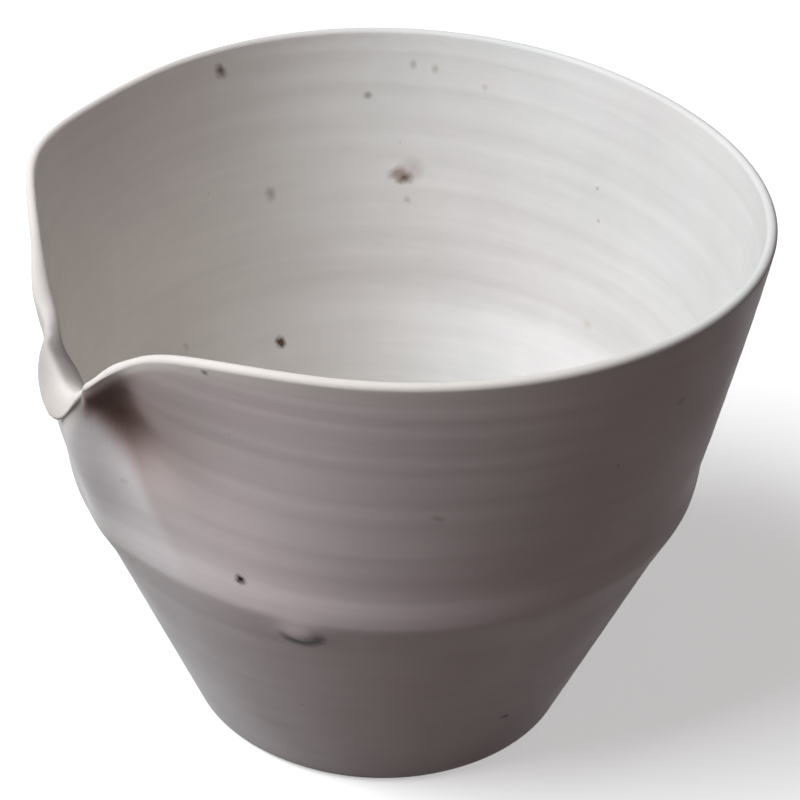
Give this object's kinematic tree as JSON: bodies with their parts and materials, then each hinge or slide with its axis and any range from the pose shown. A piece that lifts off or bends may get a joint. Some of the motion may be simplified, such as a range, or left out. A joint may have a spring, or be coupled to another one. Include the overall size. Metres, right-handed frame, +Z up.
{
  "type": "tea pitcher",
  "caption": "Open wheel-thrown tea pitcher: a cone that turns upright at a soft ridge, with a thin, uneven oval rim pinched in and folded over into a small pouring spout.",
  "frame": {"origin": "centre of the flat foot, on the throwing axis, at the height of the surface that the pitcher stands on", "axes": "+Z up along the throwing axis, the spout points along -X, Y across"},
  "size_m": [0.0994, 0.1061, 0.0851],
  "materials": {
    "porcelain": "satin, off-white, with fine throwing rings and scattered iron specks"
  },
  "bodies": {
    "root": {"pitcher_body": "porcelain"}
  },
  "joints": []
}
